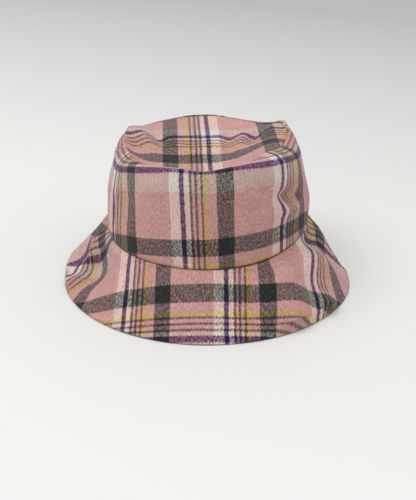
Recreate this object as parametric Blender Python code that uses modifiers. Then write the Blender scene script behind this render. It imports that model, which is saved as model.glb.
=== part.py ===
"""Soft bucket hat in brushed plaid flannel, lying brim down as it rests on a table.

Metres, +Z up. The origin is under the middle of the hat, on the surface that it rests on. The wearer's
front is -Y, and the side seams are at -X and +X. The hat is an oval, longer from front to back.
Each fabric layer is a turned panel set a little further in than the one outside it.
"""

import math

import bpy
from mathutils import Matrix, Vector

# Driving dimensions: radii are across the hat, at the side seams
OVAL = 1.06  # front-to-back size over side-to-side size
BRIM_RADIUS = 0.137
SEAM_RADIUS = 0.0925  # where the band meets the brim
SEAM_HEIGHT = 0.0474
RIM_HEIGHT = 0.1325  # highest line of the crown, where the band rolls over
TIP_RADIUS = 0.0762
TIP_DROP = 0.0025  # the tip's seam lies this far below the rim
TIP_SINK = 0.0140  # and the tip's middle this far below its seam
BRIM_BULGE = 0.0015
BRIM_EDGE_HEIGHT = 0.0012

# Cloth and thread
FLANNEL = 0.0009
INTERFACING = 0.0003
LINING = 0.0003
SWEATBAND = 0.0007
SWEATBAND_WIDTH = 0.030
SWEATBAND_LEAN = 0.0012  # its free upper edge stands this far inwards
THREAD_RADIUS = 0.0002
GAP = 0.0003
SIDE_GAP = 0.0004  # between two panels that are sewn edge to edge
SEAM_ALLOWANCE = 0.0015  # clear width beside a seam for its thread

# Depth of each layer's outer face below the hat's outer surface
BAND_INTERFACING_DEPTH = FLANNEL + GAP
THREAD_DEPTH = BAND_INTERFACING_DEPTH + INTERFACING + 2 * GAP
LINING_DEPTH = THREAD_DEPTH + THREAD_RADIUS + GAP
SWEATBAND_DEPTH = LINING_DEPTH + LINING + GAP + 0.0001
BRIM_INTERLINING_DEPTH = FLANNEL + GAP
BRIM_INTERLINING = 0.0004
BRIM_UNDER_DEPTH = BRIM_INTERLINING_DEPTH + BRIM_INTERLINING + GAP
BRIM_THREAD_DEPTH = (FLANNEL + BRIM_UNDER_DEPTH) / 2

# Where layers and threads stop, as shares of the brim's last span or as heights above the brim's seam
INTERLINING_END = 0.7
EDGE_THREAD_PLACE = 0.93
UNDER_BRIM_SURPLUS = 0.15  # cut off level with the surface that the hat rests on
BRIM_SEAM_THREAD_RISE = 0.0025
SWEATBAND_THREAD_RISE = 0.0020

HALF_STEPS = 16  # facets round half the hat
QUARTER_TURN = math.pi / 2
FRONT, BACK = -QUARTER_TURN, QUARTER_TURN
LEFT, RIGHT = math.pi, 0.0
FLOOR_CUT_DEPTH = 0.02


def material(name, colour, roughness):
    made = bpy.data.materials.new(name)
    made.use_nodes = True
    shader = made.node_tree.nodes["Principled BSDF"]
    shader.inputs["Base Color"].default_value = (*colour, 1.0)
    shader.inputs["Roughness"].default_value = roughness
    shader.inputs["Metallic"].default_value = 0.0
    made.diffuse_color = (*colour, 1.0)
    return made


def smooth_path(points, per_span):
    """Points of (radius, height) on a Catmull-Rom curve through the given ones."""
    points = [Vector(point) for point in points]
    ends = [2 * points[0] - points[1], *points, 2 * points[-1] - points[-2]]
    path = []
    for a, b, c, d in zip(ends, ends[1:], ends[2:], ends[3:]):
        for step in range(per_span):
            t = step / per_span
            square = (2 * a - 5 * b + 4 * c - d) * t**2
            cube = (3 * b - a - 3 * c + d) * t**3
            path.append((2 * b + (c - a) * t + square + cube) / 2)
    return [*path, points[-1]]


def inset(path, depth):
    """The path moved inwards, for the next layer in. A point on the hat's axis stays on it."""
    moved = []
    for i, point in enumerate(path):
        along = path[min(i + 1, len(path) - 1)] - path[max(i - 1, 0)]
        inward = Vector((along.y, -along.x)).normalized() if point.x else Vector((0, -1))
        moved.append(point + inward * depth)
    return moved


def on_hat(radius, height, angle):
    """A point at an angle from +X, at the radius that the hat would have there if it were round."""
    return Vector((radius * math.cos(angle), OVAL * radius * math.sin(angle), height))


def shade(mesh):
    mesh.shade_smooth()
    mesh.set_sharp_from_angle(angle=math.radians(40))


def turned_panel(name, path, middle, sweep, steps, thickness, look):
    """A cloth panel: the path turned through sweep, centred on the angle middle, made oval and thick."""
    mesh = bpy.data.meshes.new(name)
    edges = [(i, i + 1) for i in range(len(path) - 1)]
    mesh.from_pydata([(point.x, 0, point.y) for point in path], edges, [])
    panel = bpy.data.objects.new(name, mesh)
    hat.objects.link(panel)
    turn = panel.modifiers.new("Turned round the hat", "SCREW")
    turn.angle = sweep
    turn.steps = turn.render_steps = steps
    turn.use_merge_vertices = True
    turn.merge_threshold = 0.00001
    turn.use_smooth_shade = True
    surface = bpy.data.meshes.new_from_object(panel.evaluated_get(bpy.context.evaluated_depsgraph_get()))
    panel.modifiers.clear()
    panel.data = surface
    bpy.data.meshes.remove(mesh)
    surface.name = name
    surface.transform(Matrix.Rotation(middle - sweep / 2, 4, "Z"))
    surface.transform(Matrix.Diagonal((1, OVAL, 1, 1)))
    shade(surface)
    surface.materials.clear()
    surface.materials.append(look)
    shell = panel.modifiers.new("Cloth", "SOLIDIFY")
    shell.thickness = thickness
    shell.offset = -1
    shell.use_even_offset = False
    return panel


def half_panels(name, path, thickness, look, seam_gap=SIDE_GAP):
    """The front and the back panel of a pair, sewn together at the sides."""
    turn_left_out = seam_gap / path[-1].x
    return [
        turned_panel(f"{name}_{side}", path, middle, math.pi - turn_left_out, HALF_STEPS, thickness, look)
        for side, middle in (("front", FRONT), ("back", BACK))
    ]


def round_panel(name, path, thickness, look):
    """A tip: its path runs from the middle of the hat outwards."""
    return turned_panel(name, path, FRONT, 2 * math.pi, 2 * HALF_STEPS, thickness, look)


def thread(name, points, closed):
    """A row of stitches, drawn as the thread that it lays along its seam."""
    curve = bpy.data.curves.new(name, "CURVE")
    curve.dimensions = "3D"
    curve.bevel_depth = THREAD_RADIUS
    curve.bevel_resolution = 2
    curve.use_fill_caps = not closed
    spline = curve.splines.new("POLY")
    spline.points.add(len(points) - 1)
    for knot, point in zip(spline.points, points):
        knot.co = (*point, 1)
    spline.use_cyclic_u = closed
    curve.materials.append(thread_look)
    row = bpy.data.objects.new(name, curve)
    hat.objects.link(row)
    return row


def ring_of(point):
    """One turn round the hat through the point (radius, height)."""
    turn = 2 * math.pi / (2 * HALF_STEPS)
    return [on_hat(point.x, point.y, i * turn) for i in range(2 * HALF_STEPS)]


def up_the_side(path, angle):
    return [on_hat(point.x, point.y, angle) for point in path]


# The scene holds the hat and nothing else
for leftover in list(bpy.data.objects):
    bpy.data.objects.remove(leftover, do_unlink=True)
hat = bpy.data.collections.new("bucket_hat")
bpy.context.scene.collection.children.link(hat)
cutters = bpy.data.collections.new("cutters")
bpy.context.scene.collection.children.link(cutters)

flannel_look = material("plaid_flannel", (0.56, 0.32, 0.30), 0.95)
interfacing_look = material("white_interfacing", (0.80, 0.79, 0.76), 0.90)
lining_look = material("cotton_lining", (0.50, 0.36, 0.34), 0.85)
sweatband_look = material("cotton_sweatband", (0.30, 0.27, 0.26), 0.85)
thread_look = material("thread", (0.24, 0.21, 0.18), 0.60)

# Outer surface of the crown's band, from the tip's seam over the rim and down to the brim
tip_seam = Vector((TIP_RADIUS, RIM_HEIGHT - TIP_DROP))
band_path = smooth_path(
    [
        tip_seam,
        (0.0815, RIM_HEIGHT),
        (0.0870, 0.1262),
        (0.0903, 0.1100),
        (0.0922, 0.0780),
        (SEAM_RADIUS, SEAM_HEIGHT),
    ],
    2,
)
# The tip sinks in the middle like a shallow dish
tip_path = [
    Vector((share * (TIP_RADIUS - SIDE_GAP), tip_seam.y - TIP_SINK * (1 - share**2)))
    for share in (0.0, 0.3, 0.6, 0.85, 1.0)
]
# The brim flares down to the surface that the hat stands on
brim_start = Vector((SEAM_RADIUS + SIDE_GAP, SEAM_HEIGHT - 2 * GAP))
brim_end = Vector((BRIM_RADIUS, BRIM_EDGE_HEIGHT))
brim_path = [
    brim_start.lerp(brim_end, share) + Vector((0, BRIM_BULGE * math.sin(math.pi * share)))
    for share in (0.0, 0.25, 0.5, 0.75, 1.0)
]


def crown_outside():
    round_panel("crown_tip", tip_path, FLANNEL, flannel_look)
    half_panels("crown_band", band_path, FLANNEL, flannel_look)


def crown_interfacing():
    """Stiff backing behind each flannel panel; it stops short of the seams."""
    tip = inset(tip_path[:-1], BAND_INTERFACING_DEPTH)
    round_panel("tip_interfacing", tip, INTERFACING, interfacing_look)
    path = inset(band_path, BAND_INTERFACING_DEPTH)[1:]
    half_panels("band_interfacing", path, INTERFACING, interfacing_look, 2 * SEAM_ALLOWANCE)


def crown_lining():
    depth = LINING_DEPTH
    round_panel("lining_tip", inset(tip_path, depth), LINING, lining_look)
    half_panels("lining_band", inset(band_path, depth), LINING, lining_look)


def sweatband():
    """One strip round the head opening, its ends meeting at the middle of the back."""
    foot = band_path[-1] - Vector((SWEATBAND_DEPTH, 0))
    top = foot + Vector((-SWEATBAND_LEAN, SWEATBAND_WIDTH))
    path = [top, foot.lerp(top, 0.5) + Vector((SWEATBAND_LEAN / 5, 0)), foot]
    sweep = 2 * math.pi - 2 * SEAM_ALLOWANCE / foot.x
    turned_panel("sweatband", path, FRONT, sweep, 2 * HALF_STEPS, SWEATBAND, sweatband_look)
    return foot


def brim():
    half_panels("brim_top", brim_path, FLANNEL, flannel_look)
    interlining = inset(brim_path, BRIM_INTERLINING_DEPTH)
    interlining[-1] = interlining[-2].lerp(interlining[-1], INTERLINING_END)
    half_panels("brim_interlining", interlining, BRIM_INTERLINING, interfacing_look, 2 * SEAM_ALLOWANCE)
    under = inset(brim_path, BRIM_UNDER_DEPTH)
    under[-1] += UNDER_BRIM_SURPLUS * (under[-1] - under[-2])
    for panel in half_panels("brim_under", under, FLANNEL, flannel_look):
        trim = panel.modifiers.new("Lies flat on the floor", "BOOLEAN")
        trim.operation = "DIFFERENCE"
        trim.solver = "EXACT"
        trim.object = floor_cutter


def floor_cutter_box():
    bpy.ops.mesh.primitive_cube_add(size=1, location=(0, 0, -FLOOR_CUT_DEPTH / 2))
    cutter = bpy.context.object
    cutter.name = "floor_cutter"
    width = 3 * BRIM_RADIUS
    cutter.data.transform(Matrix.Diagonal((width, width, FLOOR_CUT_DEPTH, 1)))
    for collection in list(cutter.users_collection):
        collection.objects.unlink(cutter)
    cutters.objects.link(cutter)
    cutter.hide_render = True
    cutter.display_type = "WIRE"
    return cutter


def stitching(sweatband_foot):
    under_band = inset(band_path, THREAD_DEPTH)
    thread("tip_seam_thread", ring_of(under_band[0]), True)
    thread("brim_seam_thread", ring_of(under_band[-1] + Vector((0, BRIM_SEAM_THREAD_RISE))), True)
    between_brims = inset(brim_path, BRIM_THREAD_DEPTH)
    thread("brim_edge_thread", ring_of(between_brims[-2].lerp(between_brims[-1], EDGE_THREAD_PLACE)), True)
    clear_of_sweatband = SWEATBAND + 1.5 * GAP + THREAD_RADIUS
    on_sweatband = sweatband_foot + Vector((-clear_of_sweatband, SWEATBAND_THREAD_RISE))
    thread("sweatband_thread", ring_of(on_sweatband), True)
    band_seam = under_band[2:-1]
    brim_seam = [*between_brims[:-1], between_brims[-2].lerp(between_brims[-1], INTERLINING_END)]
    for side, angle in (("left", LEFT), ("right", RIGHT)):
        thread(f"crown_{side}_seam_thread", up_the_side(band_seam, angle), False)
        thread(f"brim_{side}_seam_thread", up_the_side(brim_seam, angle), False)


floor_cutter = floor_cutter_box()
crown_outside()
crown_interfacing()
crown_lining()
brim()
stitching(sweatband())
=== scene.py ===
"""Looks of the bucket hat: brushed plaid flannel panels, seams, lining and sweatband, round the frame.

Metres, +Z up, the wearer's front at -Y. An azimuth is 0 at the front and grows towards the right of a
viewer who faces the hat. Every layer of cloth follows one outer surface, each further in than the last.
"""

import math

import bpy
import numpy as np
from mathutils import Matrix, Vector


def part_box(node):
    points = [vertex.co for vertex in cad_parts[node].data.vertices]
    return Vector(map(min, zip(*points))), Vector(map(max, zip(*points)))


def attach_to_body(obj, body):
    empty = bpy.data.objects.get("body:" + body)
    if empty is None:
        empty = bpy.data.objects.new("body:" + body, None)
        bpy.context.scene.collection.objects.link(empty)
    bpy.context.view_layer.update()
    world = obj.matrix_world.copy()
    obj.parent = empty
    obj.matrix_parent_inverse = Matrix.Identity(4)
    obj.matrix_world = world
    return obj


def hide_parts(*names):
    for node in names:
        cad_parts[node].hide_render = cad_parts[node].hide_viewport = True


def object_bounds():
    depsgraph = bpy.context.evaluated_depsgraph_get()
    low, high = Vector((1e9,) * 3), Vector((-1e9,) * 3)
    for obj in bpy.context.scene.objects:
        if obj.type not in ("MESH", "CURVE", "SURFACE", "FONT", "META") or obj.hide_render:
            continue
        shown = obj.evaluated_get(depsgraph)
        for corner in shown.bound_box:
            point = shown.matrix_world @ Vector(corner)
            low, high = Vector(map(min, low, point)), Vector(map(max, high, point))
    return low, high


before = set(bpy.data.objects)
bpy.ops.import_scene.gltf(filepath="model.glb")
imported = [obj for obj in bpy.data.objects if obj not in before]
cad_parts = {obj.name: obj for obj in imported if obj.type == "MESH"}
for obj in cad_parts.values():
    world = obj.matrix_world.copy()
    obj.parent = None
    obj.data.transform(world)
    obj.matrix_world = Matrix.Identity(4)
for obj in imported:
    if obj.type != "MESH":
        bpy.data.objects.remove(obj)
cad_low, cad_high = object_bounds()

# Sizes read from the CAD: radii are across the hat, at the side seams
OVAL = (cad_high.y - cad_low.y) / (cad_high.x - cad_low.x)
BRIM_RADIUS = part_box("brim_top_front")[1].x
SEAM_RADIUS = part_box("crown_band_front")[1].x
SEAM_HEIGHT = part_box("crown_band_front")[0].z

# Flat sizes of the cloth
BAND_CUT = 0.107  # height of a band panel between its seams
BRIM_WIDTH = math.hypot(BRIM_RADIUS - SEAM_RADIUS, SEAM_HEIGHT)
SWEATBAND_FLAT = (0.575, 0.030)

# How the check lies on the panels
BAND_NARROWING = 0.35  # how much faster than the oval a band panel narrows upwards, for its height
BAND_DROP = 2.0  # curvature of the band's weft across a panel, per metre
BAND_TILT = 0.060  # slope of the weft at the foot of the band
BRIM_EASE = 0.0065  # cloth taken up by the wave at the right of the brim
EASE_START, EASE_SPAN = 22, 28  # degrees of azimuth over which that cloth is taken up
TIP_SLACK = 1.02  # length of the tip's cloth for its length seen from above

# Thickness of each cloth, and how far each layer's outer side lies inside the hat's outer surface
FLANNEL, LINING, BACKING, FILLING, SWEATBAND = 0.0009, 0.0003, 0.0003, 0.0004, 0.0007
BACKING_DEPTH, UNDER_DEPTH, LINING_DEPTH, SWEATBAND_DEPTH = 0.0012, 0.0018, 0.0026, 0.0033
BACKING_GAP = 0.006  # the stiffening layers stop short of the side seams
PANEL_GAP, SWEATBAND_GAP = 0.0004, 0.0030  # between the two panels of a layer, and a strip's two ends
BRIM_BULGE = -0.0020  # how far the brim is hollow between the band and its edge
LOWEST = 0.0027  # waves keep the brim's outer surface at least this far above the floor

THREAD_RADIUS, STITCH = 0.0002, 0.0030
GRID, COARSE = 0.0016, 0.0030  # size of a mesh face, outside and inside
BRIM_FINENESS = 1.3  # the brim has this many more rows than that, for its rolled edge
TIP_SPAN = 0.16
FLOOR_SHARE = 0.8  # share of its thickness by which a layer of the brim clears the floor
SIDES = (("front", 0.0), ("back", math.pi))
INSIDE = np.array([0.0, 0.0, 0.03])  # a point in the hollow of the hat

# ------------------------------------------------------------------ shape of the hat

# Azimuth, brim seam height; shoulder radius, height; tip seam radius, height; brim edge radius, height
STATIONS = (
    (-180, 0.0474, 0.0872, 0.1262, 0.0822, 0.1285, 0.1370, 0.0120),
    (-150, 0.0474, 0.0868, 0.1240, 0.0815, 0.1262, 0.1370, 0.0120),
    (-133, 0.0540, 0.0856, 0.1240, 0.0800, 0.1272, 0.1360, 0.0090),
    (-115, 0.0600, 0.0842, 0.1262, 0.0790, 0.1325, 0.1350, 0.0050),
    (-97, 0.0560, 0.0835, 0.1210, 0.0740, 0.1285, 0.1360, 0.0045),
    (-80, 0.0474, 0.0832, 0.1165, 0.0705, 0.1268, 0.1366, 0.0030),
    (-67, 0.0474, 0.0842, 0.1185, 0.0712, 0.1278, 0.1370, 0.0012),
    (-54, 0.0474, 0.0862, 0.1255, 0.0730, 0.1275, 0.1370, 0.0012),
    (-33, 0.0474, 0.0890, 0.1320, 0.0745, 0.1275, 0.1370, 0.0012),
    (-15, 0.0474, 0.0908, 0.1352, 0.0755, 0.1260, 0.1370, 0.0012),
    (0, 0.0474, 0.0920, 0.1338, 0.0757, 0.1252, 0.1370, 0.0012),
    (20, 0.0480, 0.0930, 0.1375, 0.0765, 0.1310, 0.1370, 0.0012),
    (42, 0.0510, 0.0926, 0.1355, 0.0765, 0.1385, 0.1370, 0.0012),
    (62, 0.0545, 0.0900, 0.1290, 0.0745, 0.1360, 0.1370, 0.0012),
    (80, 0.0550, 0.0872, 0.1250, 0.0722, 0.1330, 0.1350, 0.0012),
    (95, 0.0600, 0.0858, 0.1262, 0.0750, 0.1325, 0.1300, 0.0012),
    (108, 0.0590, 0.0862, 0.1310, 0.0822, 0.1345, 0.1180, 0.0015),
    (120, 0.0550, 0.0868, 0.1325, 0.0836, 0.1338, 0.1180, 0.0040),
    (135, 0.0510, 0.0876, 0.1262, 0.0826, 0.1275, 0.1260, 0.0080),
    (150, 0.0474, 0.0876, 0.1240, 0.0820, 0.1262, 0.1370, 0.0120),
)
SEAM_Z, SHOULDER_R, SHOULDER_Z, TIP_R, TIP_Z, EDGE_R, EDGE_Z = range(1, 8)
LEAN = 0.003  # the crown's top leans this far to the left

# The tip sinks into a bowl, whose floor climbs from the front towards the back
BOWL_FLOOR, BOWL_RISE = 0.1145, 0.0125
BOWL_FRONT, BOWL_LENGTH = -0.035, 0.075
TIP_GAP = 0.0003  # between the tip and the band at their seam

# Gentle wrinkles: height, size and seed
BAND_WRINKLES, BRIM_WRINKLES, TIP_WRINKLES = (0.0004, 0.030, 3), (0.0005, 0.035, 8), (0.0005, 0.030, 5)
# Folds of the band: azimuth, height share, half width, half height, outward push, tilt in degrees
BAND_FOLDS = (
    (52, 0.49, 0.018, 0.0060, -0.0080, -15),
    (50, 0.38, 0.018, 0.0060, 0.0036, -12),
    (84, 0.28, 0.020, 0.0160, 0.0022, 0),
    (-52, 0.52, 0.014, 0.0300, -0.0035, 0),
    (-66, 0.35, 0.004, 0.0200, -0.0020, 0),
    (22, 0.60, 0.020, 0.0080, 0.0012, -20),
    (-28, 0.78, 0.025, 0.0060, -0.0010, 10),
)
# Waves of the tip: x, y, half width across, half width along, rise, tilt in degrees
TIP_WAVES = (
    (-0.059, 0.016, 0.008, 0.024, 0.0065, 30),
    (-0.068, -0.004, 0.010, 0.012, -0.0040, 0),
    (-0.046, 0.026, 0.006, 0.014, -0.0045, 20),
    (-0.030, 0.018, 0.009, 0.024, 0.0008, 0),
    (0.020, 0.020, 0.006, 0.020, -0.0030, 0),
    (0.031, 0.020, 0.006, 0.020, 0.0022, -10),
    (0.043, 0.022, 0.006, 0.018, -0.0050, -20),
    (0.060, 0.026, 0.010, 0.020, 0.0050, 0),
    (0.060, -0.020, 0.030, 0.030, 0.0145, 0),
)
# Waves of the brim, solved by a least-squares fit and then rounded, not chosen by hand:
# azimuth, share of its width, half width round the hat and outwards, rise, tilt in degrees
BRIM_WAVES = (
    (-77, 0.62, 0.021, 0.016, -0.0140, 45),
    (-84, 1.00, 0.013, 0.036, -0.0110, 7),
    (-68, 0.41, 0.026, 0.023, -0.0140, 19),
    (-85, 0.84, 0.035, 0.021, 0.0098, 4),
    (-91, 0.73, 0.013, 0.016, -0.0140, -45),
    (76, 0.13, 0.013, 0.040, -0.0100, -20),
    (52, 0.95, 0.013, 0.016, 0.0090, -10),
    (69, 0.25, 0.035, 0.017, 0.0125, 7),
    (70, 0.10, 0.016, 0.018, -0.0116, 6),
    (35, 0.58, 0.022, 0.040, 0.0140, 4),
)
FADE_IN, FADE_OUT = 0.2, 0.1  # shares of the brim's width over which waves fade, at band and edge
PER_SPAN = 12  # points of a profile between two of its given points


def hermite(t, span, start, leaving, end, arriving):
    """A cubic over a span, from its values and slopes at both ends; t runs from 0 to 1."""
    return (
        (2 * t**3 - 3 * t**2 + 1) * start
        + (t**3 - 2 * t**2 + t) * span * leaving
        + (3 * t**2 - 2 * t**3) * end
        + (t**3 - t**2) * span * arriving
    )


def ease(value, start, span):
    """0 up to a start and 1 after a span, with a soft rise between them."""
    t = np.clip((value - start) / span, 0, 1)
    return t * t * (3 - 2 * t)


def round_the_hat(azimuth, column):
    """A column of the stations at each azimuth, in radians, as a smooth closed curve."""
    turn = np.radians([row[0] for row in STATIONS])
    value = np.array([row[column] for row in STATIONS])
    x = np.concatenate([turn[-2:] - 2 * np.pi, turn, turn[:2] + 2 * np.pi])
    v = np.concatenate([value[-2:], value, value[:2]])
    slope = np.diff(v) / np.diff(x)
    tangent = np.concatenate([[0], (slope[1:] + slope[:-1]) / 2, [0]])
    angle = (np.asarray(azimuth, float) + np.pi) % (2 * np.pi) - np.pi
    i = np.clip(np.searchsorted(x, angle, side="right") - 1, 1, len(x) - 3)
    span = x[i + 1] - x[i]
    return hermite((angle - x[i]) / span, span, v[i], tangent[i], v[i + 1], tangent[i + 1])


def smooth_curve(points):
    """A smooth curve through points; the first axis runs along it and the second is (radius, height)."""
    step = np.diff(points, axis=0)
    span = np.linalg.norm(step, axis=1, keepdims=True)
    slope = step / span
    inner = (slope[1:] * span[:-1] + slope[:-1] * span[1:]) / (span[1:] + span[:-1])
    tangent = np.concatenate([slope[:1], inner, slope[-1:]])
    path = [
        hermite(t, span[i], points[i], tangent[i], points[i + 1], tangent[i + 1])
        for i in range(len(step))
        for t in np.arange(PER_SPAN) / PER_SPAN
    ]
    return np.array([*path, points[-1]])


def even_profile(profile, share):
    """The (radius, height) profiles of each azimuth, read at even shares of their length."""
    step = np.hypot(*np.moveaxis(np.diff(profile, axis=0), 1, 0))
    along = np.concatenate([np.zeros((1, step.shape[1])), np.cumsum(step, axis=0)])
    along /= along[-1]
    read = [
        [np.interp(share, along[:, i], profile[:, k, i]) for i in range(profile.shape[2])]
        for k in (0, 1)
    ]
    return np.array(read)


def place(radius, height, azimuth):
    """Points on the hat: an oval of that radius across, leaning with its height."""
    lean = LEAN * np.clip((height - SEAM_HEIGHT) / (cad_high.z - SEAM_HEIGHT), 0, 1.2)
    return np.stack(
        [radius * np.sin(azimuth) - lean, -OVAL * radius * np.cos(azimuth), height], -1
    )


def bump(across, along, half_across, half_along, tilt=0.0):
    turn = math.radians(tilt)
    u = across * math.cos(turn) + along * math.sin(turn)
    v = along * math.cos(turn) - across * math.sin(turn)
    return np.exp(-((u / half_across) ** 2) - (v / half_along) ** 2)


def turned_by(azimuth, degrees):
    """How far each azimuth is from another, in radians, either way round."""
    return (azimuth - math.radians(degrees) + np.pi) % (2 * np.pi) - np.pi


def ripple(x, y, height, size, seed):
    """Gentle wrinkles: a sum of waves of about that height and size."""
    random = np.random.default_rng(seed)
    total = np.zeros(np.broadcast(x, y).shape)
    for _ in range(14):
        angle, phase = random.uniform(0, 2 * np.pi, 2)
        wave = 2 * np.pi / (size * random.uniform(0.6, 1.6))
        total += np.sin(wave * (x * np.cos(angle) + y * np.sin(angle)) + phase)
    return height * total / 5


def normals_of(points):
    """Unit normals of a grid of points, on its side away from the inside of the hat."""
    normal = np.cross(np.gradient(points, axis=0), np.gradient(points, axis=1))
    normal /= np.maximum(np.linalg.norm(normal, axis=-1, keepdims=True), 1e-12)
    return normal * np.sign(np.sum(normal * (points - INSIDE)))


def band_surface(azimuth, rise):
    """Outer surface of the band: rise is 0 at the brim and 1 at the tip's seam, along the cloth."""
    columns = (SEAM_Z, SHOULDER_R, SHOULDER_Z, TIP_R, TIP_Z)
    seam_z, shoulder_r, shoulder_z, tip_r, tip_z = (round_the_hat(azimuth, k) for k in columns)
    seam_r = np.full_like(seam_z, SEAM_RADIUS)
    height, inward = shoulder_z - seam_z, shoulder_r - seam_r
    profile = np.array([
        [seam_r - 0.0010, seam_z - 0.0006],
        [seam_r + 0.0004, seam_z + 0.0010],
        [seam_r + 0.0006, seam_z + 0.0060],
        [seam_r + 0.15 * inward + 0.0010, seam_z + 0.36 * height],
        [seam_r + 0.55 * inward + 0.0010, seam_z + 0.70 * height],
        [shoulder_r + 0.0012, shoulder_z - 0.0075],
        [shoulder_r - 0.0012, shoulder_z + 0.0005],
        [shoulder_r - 0.0050, shoulder_z + 0.0022 + 0.25 * (tip_z - shoulder_z)],
        [tip_r, tip_z],
    ])
    radius, z = even_profile(smooth_curve(profile), rise)
    points = place(radius, z, azimuth[:, None])
    push = ripple(SEAM_RADIUS * azimuth[:, None], BAND_CUT * rise[None], *BAND_WRINKLES)
    push = push * np.sin(np.pi * np.clip(rise, 0, 1))
    for angle, share, wide, high, depth, tilt in BAND_FOLDS:
        off = SEAM_RADIUS * turned_by(azimuth, angle)[:, None]
        push = push + depth * bump(off, BAND_CUT * (rise[None] - share), wide, high, tilt)
    return points + push[..., None] * normals_of(points)


def band_cloth(azimuth, rise):
    """Where each point of a band panel lies on its cloth: across and down, from the middle of the seam."""
    arc = SEAM_RADIUS * oval_arc(azimuth)[:, None]
    up = BAND_CUT * rise[None]
    sag = (BAND_DROP / 2 * arc - BAND_TILT) * arc * (1 - up / BAND_CUT)
    return arc * (1 - BAND_NARROWING * up), -(up + sag)


def oval_arc(azimuth):
    """Length round an oval of radius 1, from its front."""
    angle = np.linspace(-np.pi, np.pi, 1441)
    arc = np.cumsum(np.hypot(np.diff(np.sin(angle)), OVAL * np.diff(np.cos(angle))))
    arc = np.concatenate([[0], arc])
    return np.interp(azimuth, angle, arc - arc[720])


def brim_surface(azimuth, out, roll=True):
    """Outer surface of the brim: out is 0 at the band and 1 at the end of its rolled edge."""
    seam_z = round_the_hat(azimuth, SEAM_Z)
    edge_r, edge_z = round_the_hat(azimuth, EDGE_R), round_the_hat(azimuth, EDGE_Z)
    seam_r = np.full_like(seam_z, SEAM_RADIUS)
    points = [[seam_r - 0.0004, seam_z - 0.0006]]
    for share in (0.25, 0.5, 0.75, 0.92):
        lift = BRIM_BULGE * math.sin(math.pi * share)
        points.append([seam_r + (edge_r - seam_r) * share, seam_z + (edge_z - seam_z) * share + lift])
    points.append([edge_r - 0.0018, edge_z + 0.0021])
    if roll:
        points.append([edge_r - 0.0006, edge_z + 0.0010])
        points.append([edge_r - 0.0001, edge_z + 0.0001])
        points.append([edge_r - 0.0005, edge_z - 0.0005])
        points.append([edge_r - 0.0014, edge_z - 0.0005])
    radius, z = even_profile(smooth_curve(np.array(points)), out)
    points = place(radius, z, azimuth[:, None])
    push = ripple(SEAM_RADIUS * azimuth[:, None], BRIM_WIDTH * out[None], *BRIM_WRINKLES)
    push = push * np.sin(np.pi * np.clip(out, 0, 1)) ** 0.5
    reach = (radius - SEAM_RADIUS) / (BRIM_RADIUS - SEAM_RADIUS)
    fade = np.clip(reach / FADE_IN, 0, 1) * np.clip((1 - reach) / FADE_OUT, 0, 1)
    for angle, share, wide, deep, lift, tilt in BRIM_WAVES:
        off = (SEAM_RADIUS + BRIM_WIDTH * share) * turned_by(azimuth, angle)[:, None]
        push = push + lift * bump(off, BRIM_WIDTH * (reach - share), wide, deep, tilt) * fade
    moved = points + push[..., None] * normals_of(points)
    moved[..., 2] = np.maximum(moved[..., 2], np.minimum(points[..., 2], LOWEST))
    return moved


def brim_cloth(azimuth, out):
    """Where each point of a brim panel lies on its cloth, a flat ring sector: across and outwards."""
    half = oval_arc(np.array(math.pi / 2))
    opening = half * (BRIM_RADIUS - SEAM_RADIUS) / BRIM_WIDTH
    inner = half * SEAM_RADIUS / opening
    turn = oval_arc(azimuth)[:, None] / half * opening
    reach = inner + out[None] * BRIM_WIDTH
    taken_up = BRIM_EASE * ease(np.degrees(azimuth)[:, None], EASE_START, EASE_SPAN)
    return reach * np.sin(turn) + taken_up, reach * np.cos(turn) - inner


def tip_surface(u, v):
    """Outer surface of the tip, a bowl, from a square: u and v run from -1 to 1 across and along."""
    x, y = u * np.sqrt(1 - v**2 / 2), v * np.sqrt(1 - u**2 / 2)
    share, azimuth = np.hypot(x, y), np.arctan2(x, -y)
    seam_r, seam_z = round_the_hat(azimuth, TIP_R), round_the_hat(azimuth, TIP_Z)
    radius = share * (seam_r - TIP_GAP)
    forward = -OVAL * radius * np.cos(azimuth)
    bowl = BOWL_FLOOR + BOWL_RISE * ease(forward, BOWL_FRONT, BOWL_LENGTH)
    weight = np.clip(share, 0, 1) ** 5
    height = seam_z * weight + bowl * (1 - weight)
    points = place(radius, height, azimuth)
    for at_x, at_y, wide, deep, rise, tilt in TIP_WAVES:
        wave = bump(points[..., 0] - at_x, points[..., 1] - at_y, wide, deep, tilt)
        points[..., 2] += rise * wave * (1 - share**8)
    points[..., 2] += ripple(points[..., 0], points[..., 1], *TIP_WRINKLES) * (1 - weight)
    return points


# ------------------------------------------------------------------ the woven check

# Yarns as (red, green, blue) on a screen's scale
PINK, WHITE, GREY = (0.730, 0.550, 0.536), (0.868, 0.842, 0.792), (0.146, 0.152, 0.152)
PURPLE, YELLOW, LINE = (0.140, 0.055, 0.220), (0.710, 0.590, 0.300), (0.210, 0.180, 0.170)
CREAM = (0.735, 0.685, 0.648)  # the white weft lies deeper in the nap than the white warp
BLEND = 0.68  # yarns mix in this power of their colours, so that dark yarns show through light ones
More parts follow.
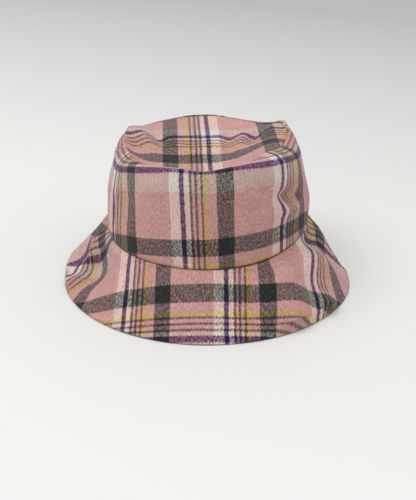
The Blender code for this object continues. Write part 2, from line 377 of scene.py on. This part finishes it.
# Stripes in millimetres, warp from left to right and weft from the crown outwards
WARP = (
    (WHITE, 8.8), (PURPLE, 3.9), (WHITE, 4.4), (LINE, 2.1), (PINK, 2.25), (LINE, 2.1), (PINK, 2.75),
    (LINE, 1.9), (YELLOW, 4.2), (PINK, 6.7), (GREY, 13.8), (PINK, 37.1),
)
WEFT = (
    (PURPLE, 5.8), (CREAM, 16.4), (PINK, 41.2), (GREY, 15.6), (PINK, 8.0), (YELLOW, 4.1), (LINE, 2.0),
    (PINK, 3.2), (LINE, 2.0), (PINK, 3.1), (LINE, 2.2), (CREAM, 3.7),
)
WARP_PURPLE, WEFT_PURPLE = 0.01075, 0.0029  # the middle of each purple stripe in its repeat
# Where the purple stripes cross a panel, across and down its cloth
BAND_CHECK = (-0.0190, -0.0898)
BRIM_CHECK = (0.0155, 0.0585)
TIP_CHECK = (0.0030, 0.0256)
TIP_TURN = math.radians(2.3)
EDGE_BLUR = 0.00025  # half of the soft edge between two stripes
WANDER, FRAY = 0.0010, 0.0010  # how far stripes wander, and how far single yarns reach past an edge
TWILL, HATCH = 0.0020, 0.00045  # width of a twill rib, and how far it carries the weft to each side
NAP_LENGTHENING = 0.65  # the nap lies along the warp, so its marks are longer that way
SCREEN_GAMMA = 2.2


class Shading:
    """A material under construction, with short ways to add nodes."""

    def __init__(self, name):
        self.material = bpy.data.materials.new(name)
        self.material.use_nodes = True
        self.tree = self.material.node_tree
        self.shader = self.tree.nodes["Principled BSDF"]

    def node(self, kind, **settings):
        made = self.tree.nodes.new(kind)
        for key, value in settings.items():
            setattr(made, key, value)
        return made

    def feed(self, socket, value):
        if isinstance(value, bpy.types.NodeSocket):
            self.tree.links.new(value, socket)
        else:
            socket.default_value = value

    def maths(self, operation, *values):
        made = self.node("ShaderNodeMath", operation=operation)
        for socket, value in zip(made.inputs, values):
            self.feed(socket, value)
        return made.outputs[0]

    def mix(self, share, first, second, blend="MIX"):
        made = self.node("ShaderNodeMix", data_type="RGBA", blend_type=blend)
        self.feed(made.inputs["Factor"], share)
        self.feed(made.inputs["A"], first)
        self.feed(made.inputs["B"], second)
        return made.outputs["Result"]

    def noise(self, vector, scale, detail, roughness=0.5):
        made = self.node("ShaderNodeTexNoise")
        made.inputs["Scale"].default_value = scale
        made.inputs["Detail"].default_value = detail
        made.inputs["Roughness"].default_value = roughness
        self.feed(made.inputs["Vector"], vector)
        return made.outputs["Fac"]

    def ramp(self, value, stops):
        made = self.node("ShaderNodeValToRGB")
        elements = made.color_ramp.elements
        while len(elements) < len(stops):
            elements.new(0.5)
        for element, (position, colour) in zip(elements, stops):
            element.position, element.color = position, (*colour, 1.0)
        self.feed(made.inputs["Fac"], value)
        return made.outputs["Color"]

    def bump(self, height, distance, strength):
        made = self.node("ShaderNodeBump")
        self.feed(made.inputs["Height"], height)
        made.inputs["Distance"].default_value = distance
        made.inputs["Strength"].default_value = strength
        self.feed(self.shader.inputs["Normal"], made.outputs["Normal"])


def stripe_stops(stripes):
    """Colour ramp stops of one repeat, with soft edges; positions run from 0 to 1 over the repeat."""
    repeat = sum(width for _, width in stripes)
    blur = EDGE_BLUR * 1000 / repeat
    stops, edge = [(0.0, stripes[0][0])], 0.0
    for (colour, width), (after, _) in zip(stripes, stripes[1:]):
        edge += width / repeat
        stops += [(edge - blur, colour), (edge + blur, after)]
    stops.append((1.0, stripes[-1][0]))
    blended = [(position, tuple(c**BLEND for c in colour)) for position, colour in stops]
    return blended, repeat / 1000


def flannel():
    """Brushed twill in a woven check; the cloth map gives each point's place on the cloth, in metres."""
    s = Shading("plaid_flannel")
    on_cloth = s.node("ShaderNodeUVMap", uv_map="cloth").outputs["UV"]
    parts = s.node("ShaderNodeSeparateXYZ")
    s.feed(parts.inputs[0], on_cloth)
    across, down = parts.outputs["X"], parts.outputs["Y"]

    # Stripes wander a little, and single yarns fray their edges
    wobble = s.maths("MULTIPLY_ADD", s.noise(on_cloth, 60, 2), WANDER, -WANDER / 2)
    across, down = s.maths("ADD", across, wobble), s.maths("SUBTRACT", down, wobble)
    nap = s.node("ShaderNodeCombineXYZ")
    s.feed(nap.inputs["X"], across)
    s.feed(nap.inputs["Y"], s.maths("MULTIPLY", down, NAP_LENGTHENING))
    nap = nap.outputs[0]
    fray = s.maths("MULTIPLY_ADD", s.noise(nap, 520, 1), FRAY, -FRAY / 2)
    diagonal = s.maths("DIVIDE", s.maths("ADD", across, down), TWILL * math.sqrt(2))
    wale = s.maths("SINE", s.maths("MULTIPLY", diagonal, 2 * math.pi))
    hatch = s.maths("MULTIPLY_ADD", wale, HATCH, fray)

    # The check: warp and weft stripes, and which of the two yarns lies on top
    warp_stops, warp_repeat = stripe_stops(WARP)
    weft_stops, weft_repeat = stripe_stops(WEFT)
    warp_place = s.maths("FRACT", s.maths("DIVIDE", s.maths("ADD", across, fray), warp_repeat))
    weft_place = s.maths("FRACT", s.maths("DIVIDE", s.maths("ADD", down, hatch), weft_repeat))
    warp, weft = s.ramp(warp_place, warp_stops), s.ramp(weft_place, weft_stops)
    patch = s.maths("MULTIPLY_ADD", s.noise(nap, 600, 1), 1.1, -0.05)
    share = s.maths("MULTIPLY_ADD", wale, 0.09, patch)
    yarns = s.mix(share, weft, warp)

    # Specks, strongest in dark yarns, and slow changes of tone
    speck = s.maths("SUBTRACT", s.noise(nap, 560, 1), 0.5)
    darkness = s.maths("SUBTRACT", 0.92, yarns)
    mottle = s.maths("MULTIPLY_ADD", s.maths("MULTIPLY", speck, darkness), 1.3, 1.0)
    cloudy = s.maths("MULTIPLY_ADD", s.noise(on_cloth, 60, 3, 0.6), 0.14, 0.93)
    tone = s.maths("MULTIPLY", mottle, cloudy)
    shade = s.node("ShaderNodeCombineColor")
    for socket in shade.inputs[:3]:
        s.feed(socket, tone)
    toned = s.mix(1.0, yarns, shade.outputs[0], "MULTIPLY")
    screen = s.node("ShaderNodeGamma")
    screen.inputs["Gamma"].default_value = SCREEN_GAMMA / BLEND
    s.feed(screen.inputs["Color"], toned)
    s.feed(s.shader.inputs["Base Color"], screen.outputs["Color"])

    s.shader.inputs["Roughness"].default_value = 0.95
    s.shader.inputs["Specular IOR Level"].default_value = 0.20
    s.shader.inputs["Sheen Weight"].default_value = 0.10
    s.shader.inputs["Sheen Roughness"].default_value = 0.6
    ridges = s.maths("MULTIPLY", wale, 0.12)
    fuzz = s.maths("MULTIPLY_ADD", s.noise(on_cloth, 600, 2, 0.6), 0.7, ridges)
    s.bump(fuzz, 0.0005, 0.3)
    return s.material


def plain_cloth(name, colour, roughness=0.9):
    """A plain woven cloth in one colour, with a fine weave and slight unevenness."""
    s = Shading(name)
    on_cloth = s.node("ShaderNodeUVMap", uv_map="cloth").outputs["UV"]
    uneven = s.noise(on_cloth, 90, 3, 0.6)
    weave = s.noise(on_cloth, 1800, 2)
    dark, light = (tuple(c * k for c in colour) for k in (0.85, 1.12))
    s.feed(s.shader.inputs["Base Color"], s.ramp(uneven, [(0.3, dark), (0.7, light)]))
    s.shader.inputs["Roughness"].default_value = roughness
    s.bump(weave, 0.0003, 0.5)
    return s.material


# ------------------------------------------------------------------ meshes


def layer(points, depth):
    """A surface moved inwards by a depth."""
    return points - depth * normals_of(points)


def make_sheet(name, points, cloth, thickness, look):
    """A cloth mesh from a grid of points, its outer side where the grid is, with its cloth map."""
    rows, columns = points.shape[:2]
    index = np.arange(rows * columns).reshape(rows, columns)
    faces = np.stack([index[:-1, :-1], index[1:, :-1], index[1:, 1:], index[:-1, 1:]], -1).reshape(-1, 4)
    turning = np.cross(np.gradient(points, axis=0), np.gradient(points, axis=1))
    if np.sum(turning * normals_of(points)) < 0:
        faces = faces[:, ::-1]
    mesh = bpy.data.meshes.new(name)
    mesh.from_pydata(points.reshape(-1, 3).tolist(), [], faces.tolist())
    mesh.shade_smooth()
    layer_map = mesh.uv_layers.new(name="cloth")
    corners = np.empty(len(mesh.loops), np.int32)
    mesh.loops.foreach_get("vertex_index", corners)
    flat = np.stack(np.broadcast_arrays(*cloth), -1).reshape(-1, 2)
    layer_map.data.foreach_set("uv", flat[corners].astype(np.float32).ravel())
    mesh.materials.append(look)
    piece = bpy.data.objects.new(name, mesh)
    bpy.context.scene.collection.objects.link(piece)
    shell = piece.modifiers.new("Cloth", "SOLIDIFY")
    shell.thickness, shell.offset = thickness, -1
    return piece


def attach(piece, node):
    """The piece stands for a CAD node, which is hidden; the piece hangs from the root body."""
    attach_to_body(piece, "root")
    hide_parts(node)


def half_azimuths(gap, radius, grid):
    """Azimuths from one side seam to the other, with half of the gap left at each."""
    half = math.pi / 2 - gap / 2 / radius
    return np.linspace(-half, half, int(math.pi * radius / grid))


def on_check(cloth, check):
    """A panel's cloth coordinates, moved so that the purple stripes cross where they should."""
    return cloth[0] - check[0] + WARP_PURPLE, cloth[1] - check[1] + WEFT_PURPLE


def build_band(
    name, node, look, depth, thickness, part=(0.0, 1.0), gap=PANEL_GAP, grid=GRID
):
    """The front and back panels of one layer of the band; part is the share of its height covered."""
    high = BAND_CUT * (part[1] - part[0])
    rise = np.linspace(*part, int(high / grid))
    facing = half_azimuths(gap, SEAM_RADIUS, grid)
    cloth = on_check(band_cloth(facing, rise), BAND_CHECK)
    for side, turn in SIDES:
        points = layer(band_surface(facing + turn, rise), depth)
        piece = make_sheet(f"{name}_{side}", points, cloth, thickness, look)
        attach(piece, f"{node}_{side}")


def build_brim(
    name, node, look, depth, thickness, roll=False, end=1.0, gap=PANEL_GAP, grid=GRID
):
    """The front and back panels of one layer of the brim; end is the share of its width covered."""
    out = np.linspace(0, end, int(BRIM_WIDTH / grid * BRIM_FINENESS))
    facing = half_azimuths(gap, BRIM_RADIUS, grid)
    cloth = on_check(brim_cloth(facing, out), BRIM_CHECK)
    for side, turn in SIDES:
        points = layer(brim_surface(facing + turn, out, roll), depth)
        points[..., 2] = np.maximum(points[..., 2], thickness * FLOOR_SHARE)
        piece = make_sheet(f"{name}_{side}", points, cloth, thickness, look)
        attach(piece, f"{node}_{side}")


def build_tip(name, node, look, depth, thickness, size=1.0, grid=GRID):
    """One layer of the tip; size is the share of its width and length that it covers."""
    side = np.linspace(-size, size, int(TIP_SPAN / grid))
    u, v = np.meshgrid(side, side, indexing="ij")
    points = layer(tip_surface(u, v), depth)
    x, y = points[..., 0] - TIP_CHECK[0] + LEAN, points[..., 1] - TIP_CHECK[1]
    cloth = (
        WARP_PURPLE - (x * math.cos(TIP_TURN) + y * math.sin(TIP_TURN)),
        WEFT_PURPLE + TIP_SLACK * (y * math.cos(TIP_TURN) - x * math.sin(TIP_TURN)),
    )
    piece = make_sheet(name, points, cloth, thickness, look)
    attach(piece, node)


def build_sweatband(look):
    """One strip round the head opening, its ends meeting at the middle of the back."""
    foot = 0.02  # its lower edge, as a share of the band's height
    rise = np.linspace(foot, foot + SWEATBAND_FLAT[1] / BAND_CUT, 20)
    half = math.pi - SWEATBAND_GAP / 2 / SEAM_RADIUS
    azimuth = np.linspace(-half, half, 300)
    points = layer(band_surface(azimuth, rise), SWEATBAND_DEPTH)
    cloth = SEAM_RADIUS * azimuth[:, None], BAND_CUT * rise[None]
    piece = make_sheet("sweatband_strip", points, cloth, SWEATBAND, look)
    attach(piece, "sweatband")


def stitch_row(name, node, points, normals, look, closed):
    """Sewing thread that dips in and out of the cloth along a row of points."""
    step = np.linalg.norm(np.diff(points, axis=0), axis=1)
    along = np.concatenate([[0], np.cumsum(step)])
    count = 4 * max(1, round(along[-1] / STITCH))
    at = np.linspace(0, along[-1], count + 1)[: count if closed else None]
    line = np.stack([np.interp(at, along, points[:, k]) for k in range(3)], -1)
    side = np.stack([np.interp(at, along, normals[:, k]) for k in range(3)], -1)
    line += side * (THREAD_RADIUS * np.sin(2 * np.pi * at / STITCH))[:, None]
    curve = bpy.data.curves.new(name, "CURVE")
    curve.dimensions, curve.bevel_depth, curve.bevel_resolution = "3D", THREAD_RADIUS, 1
    curve.use_fill_caps = not closed
    spline = curve.splines.new("POLY")
    spline.points.add(len(line) - 1)
    spline.points.foreach_set("co", np.column_stack([line, np.ones(len(line))]).ravel())
    spline.use_cyclic_u = closed
    curve.materials.append(look)
    row = bpy.data.objects.new(name, curve)
    bpy.context.scene.collection.objects.link(row)
    attach(row, node)


def unrolled_brim(azimuth, out):
    return brim_surface(azimuth, out, roll=False)


def build_stitching(look):
    """A row of stitches in each seam, at its depth in the cloth.

    Each row runs through the middle of its three shares; the others are there to find its normals.
    """
    round_trip = np.linspace(-math.pi, math.pi, 361)
    rows = (
        ("tip_seam", band_surface, (0.955, 0.975, 0.99), 0.0020),
        ("brim_seam", band_surface, (0.02, 0.03, 0.04), 0.0021),
        ("brim_edge", unrolled_brim, (0.955, 0.965, 0.975), 0.0014),
        ("sweatband", band_surface, (0.06, 0.07, 0.08), 0.0040),
    )
    for name, surface, shares, depth in rows:
        points = surface(round_trip, np.array(shares))
        normals = normals_of(points)[:, 1]
        row = points[:, 1] - depth * normals
        stitch_row(f"{name}_stitches", f"{name}_thread", row, normals, look, closed=True)
    side_rows = (
        ("crown", band_surface, np.linspace(0.08, 0.93, 60), 0.0020),
        ("brim", unrolled_brim, np.linspace(0.04, 0.93, 50), 0.0014),
    )
    for side, angle in (("left", -math.pi / 2), ("right", math.pi / 2)):
        azimuth = angle + np.array([-0.01, 0.0, 0.01])
        for name, surface, along, depth in side_rows:
            points = surface(azimuth, along)
            normals = normals_of(points)[1]
            row = points[1] - depth * normals
            title = f"{name}_{side}"
            stitch_row(f"{title}_stitches", f"{title}_seam_thread", row, normals, look, closed=False)


plaid = flannel()
backing = plain_cloth("interfacing", (0.80, 0.79, 0.76))
lining = plain_cloth("cotton_lining", (0.50, 0.36, 0.34))
band_cotton = plain_cloth("cotton_sweatband", (0.30, 0.27, 0.26))
thread = plain_cloth("thread", (0.24, 0.21, 0.18), 0.6)

build_band("band", "crown_band", plaid, 0, FLANNEL)
build_band(
    "band_backing", "band_interfacing", backing, BACKING_DEPTH, BACKING,
    part=(0.04, 0.95), gap=BACKING_GAP, grid=COARSE,
)
build_band("band_lining", "lining_band", lining, LINING_DEPTH, LINING, grid=COARSE)
build_brim("brim_upper", "brim_top", plaid, 0, FLANNEL, roll=True)
build_brim(
    "brim_filling", "brim_interlining", backing, BACKING_DEPTH, FILLING,
    end=0.9, gap=BACKING_GAP, grid=COARSE,
)
build_brim("brim_lower", "brim_under", plaid, UNDER_DEPTH, FLANNEL)
build_tip("tip", "crown_tip", plaid, 0, FLANNEL)
build_tip(
    "tip_backing", "tip_interfacing", backing, BACKING_DEPTH, BACKING,
    size=0.93, grid=COARSE,
)
build_tip("tip_lining", "lining_tip", lining, LINING_DEPTH, LINING, grid=COARSE)
build_sweatband(band_cotton)
build_stitching(thread)

# ------------------------------------------------------------------ floor, light and camera

HORIZON_LIGHT, ZENITH_LIGHT = 0.44, 1.09
# The floor's colour near the hat, and the painted shade it darkens to far behind and to the right
PAPER_NEAR, PAPER_PAINTED_SHADE = (0.765, 0.765, 0.748), (0.500, 0.500, 0.491)
DIMMING_LENGTH = 1.5
HAT_MIDDLE = (0, 0, 0.05)
ELEVATION, DISTANCE, AIM = math.radians(24.3), 0.927, (0, 0, 0.0215)


def build_floor():
    """White floor with painted shade: its colour darkens far behind the hat and to its right, where less
    light falls.
    """
    bpy.ops.mesh.primitive_plane_add(size=30, location=(0, 0, 0))
    floor = bpy.context.object
    floor.name = "floor"
    s = Shading("paper_painted_shade")
    parts = s.node("ShaderNodeSeparateXYZ")
    s.feed(parts.inputs[0], s.node("ShaderNodeTexCoord").outputs["Object"])
    far = s.maths("MULTIPLY_ADD", parts.outputs["X"], 0.6, parts.outputs["Y"])
    # Painted shade: the floor's colour darkens with distance behind the hat and to its right, standing in
    # for less light there
    tone = s.ramp(s.maths("DIVIDE", far, DIMMING_LENGTH), [(0.1, PAPER_NEAR), (1.0, PAPER_PAINTED_SHADE)])
    s.feed(s.shader.inputs["Base Color"], tone)
    s.shader.inputs["Roughness"].default_value = 0.9
    s.shader.inputs["Specular IOR Level"].default_value = 0.1
    floor.data.materials.append(s.material)


def area_light(name, place_at, size, power):
    """A round softbox that faces the hat."""
    light = bpy.data.lights.new(name, "AREA")
    light.shape, light.size, light.energy = "DISK", size, power
    lamp = bpy.data.objects.new(name, light)
    bpy.context.scene.collection.objects.link(lamp)
    lamp.location = place_at
    direction = Vector(HAT_MIDDLE) - Vector(place_at)
    lamp.rotation_euler = direction.to_track_quat("-Z", "Y").to_euler()


def build_light():
    """A pale studio, brighter overhead, with a softbox above to the left and a weak one to the right."""
    world = bpy.data.worlds.new("studio")
    world.use_nodes = True
    tree = world.node_tree
    direction = tree.nodes.new("ShaderNodeTexCoord").outputs["Generated"]
    parts = tree.nodes.new("ShaderNodeSeparateXYZ")
    tree.links.new(direction, parts.inputs[0])
    ramp = tree.nodes.new("ShaderNodeValToRGB")
    ramp.color_ramp.elements[0].color = (*[HORIZON_LIGHT] * 3, 1)
    ramp.color_ramp.elements[1].color = (*[ZENITH_LIGHT] * 3, 1)
    tree.links.new(parts.outputs["Z"], ramp.inputs["Fac"])
    tree.links.new(ramp.outputs["Color"], tree.nodes["Background"].inputs["Color"])
    bpy.context.scene.world = world
    area_light("key", (-1.1, -0.7, 2.2), size=1.8, power=22)
    area_light("fill", (1.3, -0.9, 1.2), size=1.2, power=1.5)


def build_camera():
    """The viewing angle: straight at the wearer's front, from a little above."""
    back = Vector((0, -math.cos(ELEVATION), math.sin(ELEVATION)))
    data = bpy.data.cameras.new("camera")
    data.lens, data.sensor_width = 70, 36
    camera = bpy.data.objects.new("camera", data)
    bpy.context.scene.collection.objects.link(camera)
    camera.location = Vector(AIM) + back * DISTANCE
    camera.rotation_euler = (-back).to_track_quat("-Z", "Y").to_euler()
    bpy.context.scene.camera = camera


build_floor()
build_light()
build_camera()
bpy.context.scene.view_settings.view_transform = "Standard"
